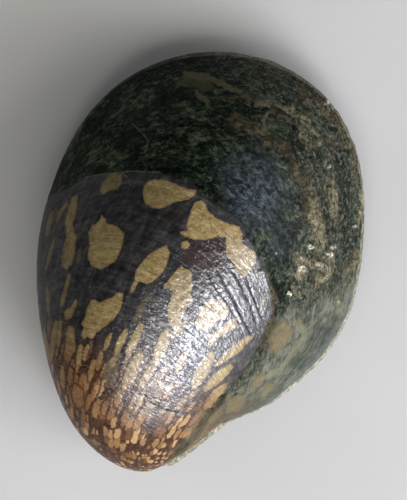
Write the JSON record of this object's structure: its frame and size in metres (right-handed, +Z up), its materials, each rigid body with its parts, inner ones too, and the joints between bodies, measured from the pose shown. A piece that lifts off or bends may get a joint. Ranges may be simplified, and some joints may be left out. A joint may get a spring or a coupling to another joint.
{
  "type": "nerite snail",
  "caption": "Life-size nerite snail at rest, glossy dark shell with tan radiating spots drawn down over its head, tentacles and broad oval foot.",
  "frame": {"origin": "middle of the box's bottom, on the floor under the foot's sole", "axes": "+Z up from the floor; the head faces -Y; -X is the snail's right, the side of the spire"},
  "size_m": [0.0204, 0.026, 0.0132],
  "materials": {
    "shell_glossy": "glossy purplish-black shell with honey-tan radiating spots, passing to dull olive and grey-brown crust at the front and right",
    "shell_worn": "worn, finely speckled brown first whorls, satin",
    "shell_edge": "matt grey shell edge, thin, pale and slightly ragged",
    "callus": "smooth pale grey-cream callus, satin",
    "operculum_plate": "dark grey-brown limy plate, satin, with growth arcs",
    "flesh": "moist charcoal skin, finely wrinkled, with paler flecks",
    "sole_flesh": "moist grey sole, smooth",
    "eye": "wet black bead"
  },
  "bodies": {
    "root": {"shell_body_whorl": "shell_glossy", "shell_spire": "shell_worn", "shell_lip": "shell_edge", "columellar_shelf": "callus", "operculum": "operculum_plate", "body_mass": "flesh", "foot": "sole_flesh", "head": "flesh", "tentacle_right": "flesh", "tentacle_left": "flesh", "eye_stalk_right": "flesh", "eye_stalk_left": "flesh", "eye_right": "eye", "eye_left": "eye"}
  },
  "joints": []
}
